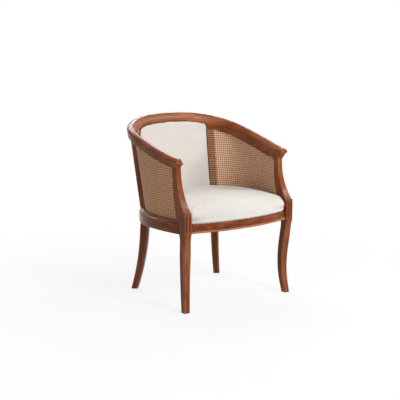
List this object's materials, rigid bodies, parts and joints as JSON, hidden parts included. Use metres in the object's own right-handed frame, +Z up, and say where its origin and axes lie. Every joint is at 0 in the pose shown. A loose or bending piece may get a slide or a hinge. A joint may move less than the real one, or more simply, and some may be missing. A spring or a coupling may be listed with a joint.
{
  "type": "armchair",
  "caption": "Tub armchair with a bent-round moulded wooden top rail, double caned sides, turned-in stumps, bowed front and linen-covered seat and back pads.",
  "frame": {"origin": "centre of the bounding box in plan, on the floor under the feet", "axes": "+Z up, the front of the seat faces -Y, +X is to the right when seen from the front"},
  "size_m": [0.632, 0.603, 0.78],
  "materials": {
    "stained_beech": "satin",
    "plain_beech": "matte",
    "plywood": "matte",
    "cane": "satin",
    "linen": "matte",
    "foam": "matte",
    "steel": "bright"
  },
  "bodies": {
    "root": {"crest_rail": "stained_beech", "arm_rail_right": "stained_beech", "arm_rail_left": "stained_beech", "back_seat_rail": "stained_beech", "front_seat_rail": "stained_beech", "side_seat_rail_right": "stained_beech", "side_seat_rail_left": "stained_beech", "front_leg_right": "stained_beech", "front_leg_left": "stained_beech", "rear_leg_right": "stained_beech", "rear_leg_left": "stained_beech", "back_stile_right": "stained_beech", "back_stile_left": "stained_beech", "outer_cane_panel_right": "cane", "outer_cane_panel_left": "cane", "inner_cane_panel_right": "cane", "inner_cane_panel_left": "cane", "front_corner_block_right": "plain_beech", "front_corner_block_left": "plain_beech", "rear_corner_block_right": "plain_beech", "rear_corner_block_left": "plain_beech", "back_board": "plywood", "outside_back_panel": "linen", "crest_arm_dowels": "plain_beech", "arm_stump_dowels": "plain_beech", "stile_dowels": "plain_beech", "rear_leg_dowels": "plain_beech", "seat_rail_dowels": "plain_beech", "seat_board_screws": "steel", "seat_board": "plywood", "seat_foam": "foam", "seat_cover": "linen", "back_foam": "foam", "back_cover": "linen"}
  },
  "joints": []
}
